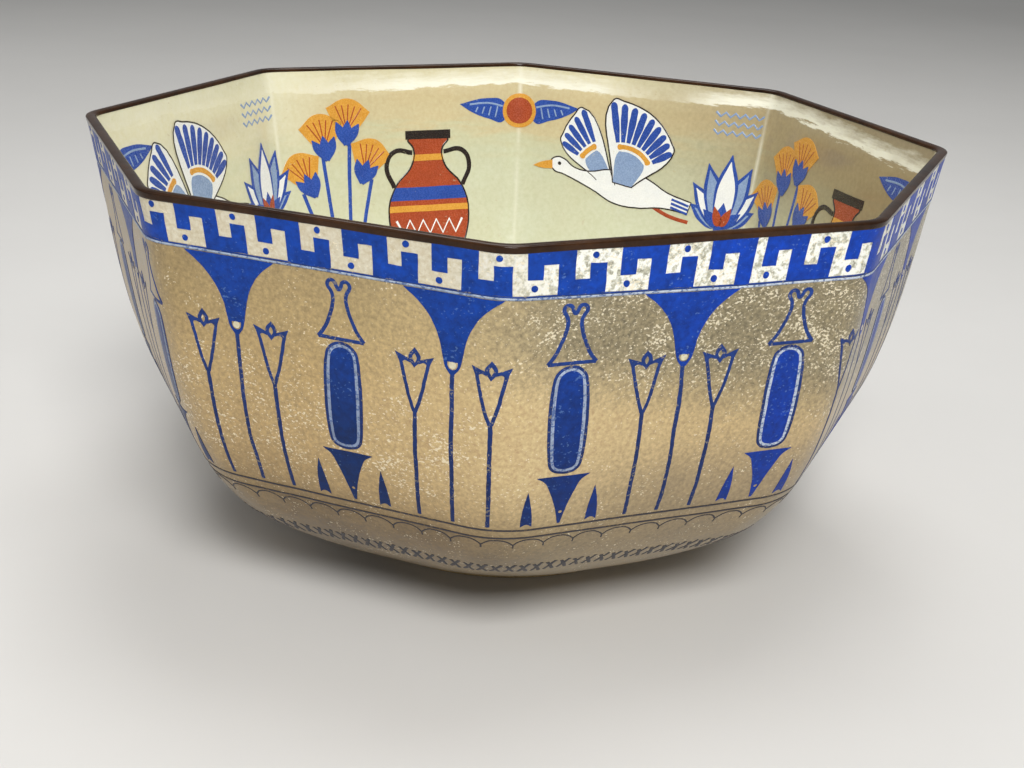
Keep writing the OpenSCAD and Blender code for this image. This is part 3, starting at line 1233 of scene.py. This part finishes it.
# %% Scallops and hatching
SCALLOPS = 6 * REPEATS
SCALLOPS_TRUE_AT = 82.0
SCALLOP_STEP = OUTER_FACE.girth(SCALLOPS_TRUE_AT) / SCALLOPS
SCALLOP_RAGGED = 0.08
HATCHES = 2 * SCALLOPS
HATCH_TRUE_AT = 98.0
HATCH_STEP = OUTER_FACE.girth(HATCH_TRUE_AT) / HATCHES
HATCH_RAGGED = 0.25
half = SCALLOP_STEP / 2
scallop = stroke(0.46, [
    soft(-half, 84.2), sharp(-half, 82.9), soft(-half * 0.6, 81.3), soft(0, 80.7), soft(half * 0.6, 81.3),
    sharp(half, 82.9),
], steps=PEN_STEPS)
scallop = repeat(joined("scallops", scallop), SCALLOPS, SCALLOP_STEP)
lay_print(scallop, GREY_INK, SCALLOPS_TRUE_AT, 0, SCALLOP_RAGGED)
hatch = stroke(
    1.0,
    [soft(-1.3, 100.0), soft(0, 97.2), soft(1.3, 94.4)],
    [soft(-0.9, 95.0), soft(0.1, 97.6), soft(0.9, 100.2)],
    steps=PEN_STEPS,
)
hatch = repeat(joined("hatching", hatch), HATCHES, HATCH_STEP)
lay_print(hatch, GREY_INK, HATCH_TRUE_AT, 0, HATCH_RAGGED)

# %% [markdown]
# ## Frieze inside
#
# The inside carries a painted frieze in enamel: geese, reeds, jars and lotus flowers under a winged
# sun, all old river motifs. Each is drawn flat as before, with one piece for each colour. Colours
# overlap, so each layer lies a hair higher than the one below. The sheet is turned round for the
# inside: seen from the middle of the bowl, right is the way back to a smaller turn.

# %% Enamels
def enamel(name, colour, shade, worn=paint(206, 202, 170)):
    """Opaque gloss colour, a little uneven where the brush went over it twice."""
    material, tree, shader, _, mottle = start_finish(name, 220.0, 2200.0, 1100.0, 0.3)
    tone = tint(tree, colour, mottle.outputs["Cloud"], 0.6, shade)
    tone = mix(tree, 0.15, tone, mottle.outputs["Grain"], "OVERLAY")
    tone = tint(tree, tone, mottle.outputs["Fleck"], 0.4, worn)
    gloss(tree, shader, mottle, tone, (0.2, 0.34), 0.45, 0.25)
    return material


WHITE = enamel("white_enamel", paint(246, 246, 242), paint(232, 234, 234))
BRICK = enamel("brick_enamel", paint(176, 78, 42), paint(152, 62, 34))
BLACK = enamel("black_enamel", paint(44, 34, 30), paint(30, 24, 24))
COBALT = enamel("cobalt_enamel", paint(48, 84, 172), paint(36, 64, 142))
OCHRE = enamel("ochre_enamel", paint(226, 164, 66), paint(206, 142, 50))
SKY = enamel("sky_enamel", paint(146, 168, 202), paint(124, 148, 188))

# %% Laying the frieze
FRIEZE_REPEATS = 4
FRIEZE_TRUE_AT = 45.0
FRIEZE_STEP = INNER_FACE.girth(FRIEZE_TRUE_AT) / FRIEZE_REPEATS
BACK_TURN = 0.5
LAYER_LIFT = 0.05
GROUND = 84.0
FRIEZE_ROW = 3.0
FINE_STRIP = 1.5
FRIEZE_RAGGED = 0.06
print(f"frieze step {FRIEZE_STEP:.1f} mm")


def frieze(name, ink, level, *pieces, strip=2.0):
    """Joins shapes of one colour, repeats them and lays them round the inside."""
    motif = slice_up(joined(name, *pieces), strip, FRIEZE_ROW)
    flat = wobble(get_points(repeat(motif, FRIEZE_REPEATS, FRIEZE_STEP)), FRIEZE_RAGGED)
    turn = BACK_TURN - flat[:, 0] / INNER_FACE.girth(FRIEZE_TRUE_AT)
    set_points(motif, INNER_FACE.place(turn, -flat[:, 1], flat[:, 2] + level * LAYER_LIFT))
    finish_print(motif, ink)


def turned(x, y, tilt, outline):
    """An outline leant to the right by tilt degrees, then moved to x, y."""
    c = math.cos(math.radians(tilt))
    s = math.sin(math.radians(tilt))
    return [(x + px * c - py * s, y + px * s + py * c, kind) for px, py, kind in outline]


def leaf_shape(start, end, half):
    """A slim leaf that points up, from start to end above its root, at most half wide on each side."""
    middle = start + 0.6 * (end - start)
    return both_sides([sharp(0.12 * half, -end), soft(half, -middle), sharp(0.4 * half, -start)])


# %% [markdown]
# ### Geese
#
# A goose flies to the left with both wings up. A wing is a fan: a pale sheet, a plain root, a narrow
# band and a row of long feathers, each one leaf turned about the shoulder by a few degrees more.

# %% Flying geese
GOOSE_X = 39.0
GOOSE_Y = 36.0
GOOSE = [
    soft(-26.5, -3.2), soft(-24.5, -5.2), soft(-21.6, -4.9), soft(-18, -2.5), soft(-12.6, -1.6),
    soft(-5.4, -3), soft(2.7, -3.4), soft(10.8, -0.9), soft(17, 2.2), sharp(26, 4.5), sharp(25.2, 8.5),
    soft(16.2, 7.7), soft(7.2, 8.8), soft(-1.8, 8.3), soft(-9.9, 4.7), soft(-16.2, 2.3),
    soft(-21.6, 0.4), soft(-25.2, -0.6),
]
BILL = [sharp(-25.9, -4), soft(-29.7, -2.9), sharp(-33, -1.3), soft(-29.7, -0.7), sharp(-25.7, -0.9)]
SHANK = [soft(12, 7.5), soft(19, 10.2), soft(26, 11.4)]
TAIL = [[soft(19, y), soft(25.4, y + 1.6)] for y in (4.2, 5.6, 7.0)]
QUILL_FAN = 8.75
NEAR_WING = [(-12 + QUILL_FAN * i, 26 - 0.8 * i) for i in range(9)]
FAR_WING = [(-60 + QUILL_FAN * i, 19 + 1.2 * i) for i in range(5)]
FAR_BACK = -6.0
WING_ROOT = 9.0
WING_BAND = 11.4
WING_GAP = 0.8


def goose(outline, x=0.0, y=0.0, tilt=0.0):
    return turned(GOOSE_X + x, GOOSE_Y + y, tilt, outline)


def wing_arc(feathers, reach=None, spare=0.0):
    """Points across a wing, so far from the shoulder, or just off its feathers' tips."""
    return [turned(0, -1, tilt, [soft(0, -(reach or length + spare))])[0] for tilt, length in feathers]


def wing_sheet(feathers, x, reach=None):
    """A fan from the shoulder out to an arc across the wing."""
    return goose([sharp(-3, 1), *wing_arc(feathers, reach, 1.0), sharp(4, 2)], x)


def wing_band(feathers, x):
    """A narrow band across the wing, beyond its root."""
    return goose(wing_arc(feathers, WING_BAND) + wing_arc(feathers, WING_ROOT + WING_GAP)[::-1], x)


def quills(feathers, x, half):
    """One blunt leaf for each feather, from the band out to its tip."""
    start = WING_BAND + WING_GAP
    return [
        goose(both_sides([
            soft(0.45 * half, -length), soft(half, -0.25 * start - 0.75 * length), sharp(0.6 * half, -start)
        ]), x, -1, tilt)
        for tilt, length in feathers
    ]


frieze("goose_far_wings", WHITE, 0, filled(wing_sheet(FAR_WING, FAR_BACK)))
frieze("goose_far_feathers", COBALT, 1, filled(*quills(FAR_WING, FAR_BACK, 1.0)))
frieze("goose_far_roots", SKY, 1, filled(wing_sheet(FAR_WING, FAR_BACK, WING_ROOT)))
frieze("goose_shanks", BRICK, 1, stroke(1.3, goose(SHANK)))
frieze("goose_bodies", WHITE, 2, filled(goose(GOOSE)), strip=2.3)
frieze("goose_lines", BLACK, 3, stroke(0.55, goose(GOOSE), closed=True),
       stroke(0.45, wing_sheet(FAR_WING, FAR_BACK)), filled(goose(circle(-23.2, -3.1, 0.65))))
frieze("goose_bills", OCHRE, 4, filled(goose(BILL)))
frieze("goose_wings", WHITE, 4, filled(wing_sheet(NEAR_WING, 0)))
frieze("goose_roots", SKY, 5, filled(wing_sheet(NEAR_WING, 0, WING_ROOT)))
frieze("goose_bands", OCHRE, 5, filled(wing_band(NEAR_WING, 0)), filled(wing_band(FAR_WING, FAR_BACK)))
frieze("goose_feathers", COBALT, 5, filled(*quills(NEAR_WING, 0, 1.15)), stroke(0.8, *map(goose, TAIL)))
frieze("goose_wing_lines", BLACK, 6, stroke(0.5, wing_sheet(NEAR_WING, 0), closed=True))


# %% [markdown]
# ### Reeds, jars and lotus
#
# Reeds stand with fan-shaped heads, jars on low stands, and a lotus opens beside them. Their heads
# come high on the wall, where they show over the near side of the rim.

# %% Reeds
REED_AT = -66.0
REEDS = ((-12, 33, -22), (-4, 20, -8), (5.5, 15, 7), (12.5, 29, 20))
HEAD_REACH = 7.5
HEAD_DROP = 11.0
HEAD = [
    sharp(0, HEAD_DROP), soft(-0.62 * HEAD_REACH, 0.35 * HEAD_DROP), sharp(-HEAD_REACH, -1), soft(0, -5),
    sharp(HEAD_REACH, -1), soft(0.62 * HEAD_REACH, 0.35 * HEAD_DROP),
]
RAYS = [[soft(0.5 * k, 4.5), soft(2.2 * k, 0.5 * abs(k) - 3)] for k in (-2, -1, 0, 1, 2)]
reed_lines = [
    [soft(REED_AT + x, y + 9), soft(REED_AT + 0.55 * x, 62), soft(REED_AT + 0.25 * x, GROUND)]
    for x, y, tilt in REEDS
]
heads = [turned(REED_AT + x, y, tilt, HEAD) for x, y, tilt in REEDS]
rays = [turned(REED_AT + x, y, tilt, ray) for x, y, tilt in REEDS for ray in RAYS]
cups = [
    turned(REED_AT + x, y, tilt, turned(0, HEAD_DROP, lean, leaf_shape(0, 8.5, 1.6)))
    for x, y, tilt in REEDS for lean in (-27, 0, 27)
]
frieze("reed_stems", COBALT, 0, stroke(1.3, *reed_lines))
frieze("reed_heads", OCHRE, 1, *map(filled, heads))
frieze("reed_rays", BRICK, 2, stroke(0.55, *rays))
for place in range(3):
    frieze(f"reed_cups_{place}", COBALT, 2 + place, filled(*cups[place::3]))

# %% Jars
JAR_AT = -33.0
JAR = beside(JAR_AT, both_sides([
    sharp(7.1, 22.6), sharp(7.1, 25.5), soft(5.1, 28.4), soft(6, 34), soft(12, 41), soft(15, 50),
    soft(13, 62.5), soft(8, 72.7), sharp(4.8, 78.4),
]))
JAR_BAND = beside(JAR_AT, both_sides([sharp(12.4, 41.6), sharp(14.3, 46.2)]))
JAR_LINE = beside(JAR_AT, both_sides([sharp(14.7, 48), sharp(14.8, 50.2)]))
JAR_LIP = beside(JAR_AT, both_sides([sharp(8, 21.9), sharp(8, 24.9)]))
JAR_NECK = beside(JAR_AT, both_sides([sharp(5.2, 30.2), sharp(5.6, 32.4)]))
JAR_STAND = beside(JAR_AT, both_sides([sharp(5.2, 77.8), sharp(8.6, GROUND)]))
JAR_ZIGZAG = [sharp(JAR_AT - 12.5 + 2.5 * i, 53.2 + 4.8 * (i % 2)) for i in range(11)]
HANDLE = ((5.6, 29.5), (12, 29), (15, 34), (12.6, 41.5))
HANDLES = [[soft(JAR_AT + side * x, y) for x, y in HANDLE] for side in (-1, 1)]
jar_leaves = [turned(JAR_AT, 79, lean, leaf_shape(3, 17, 1.7)) for lean in (-24, -8, 8, 24)]
frieze("jar_bodies", BRICK, 0, filled(JAR))
frieze("jar_bands", COBALT, 1, filled(JAR_BAND), *map(filled, jar_leaves))
frieze("jar_hoops", OCHRE, 1, filled(JAR_LINE), filled(JAR_NECK))
frieze("jar_zigzags", WHITE, 1, stroke(1.2, JAR_ZIGZAG))
jar_lines = [filled(JAR_LIP, JAR_STAND), stroke(1.6, *HANDLES), stroke(0.6, JAR, closed=True)]
frieze("jar_lines", BLACK, 2, *jar_lines)

# %% Lotus flowers
LOTUS_AT = 76.5
LOTUS_BASE = 48.0
PETAL_PAIRS = ((58, 14, 2.6, SKY), (39, 19, 3.2, WHITE), (19, 23, 3.7, SKY), (0, 25.5, 4.0, WHITE))
HEART_SHORTER = 2.4
HEART_SLIMMER = 0.9
SEPALS = (-48, 0, 48)
INNER_SEPALS = (-22, 22)
BUDS = ((-7.5, 66, -14), (7.5, 66, 14))


def lotus_petal(tilt, length, half):
    """One pointed petal that springs from the flower's base."""
    petal = both_sides([sharp(0.1, -length), soft(half, -0.5 * length), soft(0.8, -1.2)])
    return filled(turned(LOTUS_AT, LOTUS_BASE, tilt, petal))


lotus_stems = [[soft(LOTUS_AT, 49), soft(LOTUS_AT, 66), soft(LOTUS_AT, GROUND)]] + [
    [soft(LOTUS_AT + x, y), soft(LOTUS_AT + 0.8 * x, 75), soft(LOTUS_AT, GROUND)] for x, y, tilt in BUDS
]
buds = [turned(LOTUS_AT + x, y + 2, tilt, leaf_shape(0, 11, 2.4)) for x, y, tilt in BUDS]
for pair, (tilt, length, half, heart) in enumerate(PETAL_PAIRS):
    leans = sorted({-tilt, tilt})
    frieze(f"lotus_petals_{pair}", COBALT, 2 * pair, *[lotus_petal(t, length, half) for t in leans])
    frieze(f"lotus_hearts_{pair}", heart, 2 * pair + 1,
           *[lotus_petal(t, length - HEART_SHORTER, half - HEART_SLIMMER) for t in leans])
frieze("lotus_sepals", COBALT, 8, *[lotus_petal(t, 9, 1.9) for t in SEPALS],
       filled(circle(LOTUS_AT, LOTUS_BASE, 1.9)), stroke(1.5, *lotus_stems))
frieze("lotus_cups", BRICK, 9, *[lotus_petal(t, 8, 1.5) for t in INNER_SEPALS])
frieze("lotus_buds", SKY, 0, filled(*buds))

# %% Winged suns and water signs
SUN_Y = 16.0
SUN_WING = [
    soft(5.5, -3), soft(11.5, -4.6), sharp(21.5, -2.8), soft(16.5, 0.5), soft(11, 2.6), soft(5.5, 3.6)
]
sun_wings = [[(side * x, SUN_Y + y, kind) for x, y, kind in SUN_WING] for side in (-1, 1)]
sun_quills = [
    [soft(side * (7.8 + 2.4 * i), SUN_Y - 1.6), soft(side * (8.6 + 2.4 * i), SUN_Y + 2.2 - 0.7 * i)]
    for side in (-1, 1) for i in range(4)
]
SUN_ARM = ((6, -1.6), (11.5, -2.9), (18, -2.6))
sun_arms = [[soft(side * x, SUN_Y + y) for x, y in SUN_ARM] for side in (-1, 1)]
frieze("sun_wings", COBALT, 0, filled(*sun_wings), strip=FINE_STRIP)
frieze("sun_quills", SKY, 1, stroke(0.7, *sun_quills), stroke(0.9, *sun_arms), strip=FINE_STRIP)
frieze("sun_rims", OCHRE, 1, filled(circle(0, SUN_Y, 6)), strip=FINE_STRIP)
frieze("sun_discs", BRICK, 2, filled(circle(0, SUN_Y, 4.6)), strip=FINE_STRIP)
water = [
    [sharp(LOTUS_AT - 8 + 1.6 * i, 8.5 + 3 * row + 1.5 * (i % 2)) for i in range(11)] for row in range(3)
]
frieze("water_signs", SKY, 0, stroke(0.8, *water), strip=FINE_STRIP)

# %% River bank
bank = [[sharp(x, GROUND + 1.2 + 2.4 * row) for x in np.linspace(0, FRIEZE_STEP, 9)] for row in range(2)]
ripples = [
    [sharp(x, GROUND + first + 2.2 * (i % 2)) for i, x in enumerate(np.linspace(0, FRIEZE_STEP, 41))]
    for first in (7, 11)
]
frieze("river_bank", OCHRE, 0, stroke(1.0, *bank), strip=FINE_STRIP)
frieze("river_ripples", COBALT, 0, stroke(0.9, *ripples), strip=FINE_STRIP)

# %% [markdown]
# ## Floor and light
#
# A broad pale floor keeps the bowl's shadow. One soft lamp in front, high and a little to the right,
# does most of the work, a weak one fills the left side, one overhead lights the inside, one behind
# keeps the far walls out of the dark, and the world gives the rest, at a level where a colour looks
# as it was written.

# %% Floor, lamps and world
FLOOR_SIZE = 16.0
LAMP_SPREAD = math.radians(100)
LAMPS = (
    ("key", (0.66, -1.05, 1.2), 0.6, 7.6),
    ("fill", (-0.9, -0.7, 1.1), 0.9, 0.6),
    ("top", (0.1, 0.2, 1.5), 0.6, 1.8),
    ("behind", (-0.5, 0.8, 1.5), 0.8, 1.8),
)
WORLD_TONE = paint(236, 238, 240)
WORLD_LIGHT = 0.29
deselect()
bpy.ops.mesh.primitive_plane_add(size=FLOOR_SIZE)
floor = bpy.context.object
floor.name = "floor"
material, tree, shader, _, mottle = start_finish("pale_floor", 3.0, 90.0, 60.0, 0.0)
colour = mix(tree, mottle.outputs["Cloud"], paint(210, 208, 204), paint(216, 214, 210))
gloss(tree, shader, mottle, colour, (0.8, 0.9), 0.05, 0.0, 0.0)
floor.data.materials.append(material)


def soft_lamp(name, place, size, watts):
    """A square lamp that faces the bowl, with a grid that keeps its light together."""
    bpy.ops.object.light_add(type="AREA", location=place)
    lamp = bpy.context.object
    lamp.name = name
    lamp.rotation_euler = (VIEW_CENTRE - Vector(place)).to_track_quat("-Z", "Y").to_euler()
    lamp.data.size = size
    lamp.data.spread = LAMP_SPREAD
    lamp.data.energy = watts


for lamp in LAMPS:
    soft_lamp(*lamp)
world = bpy.context.scene.world or bpy.data.worlds.new("studio")
bpy.context.scene.world = world
world.use_nodes = True
glow = world.node_tree.nodes["Background"].inputs
glow["Color"].default_value = WORLD_TONE
glow["Strength"].default_value = WORLD_LIGHT
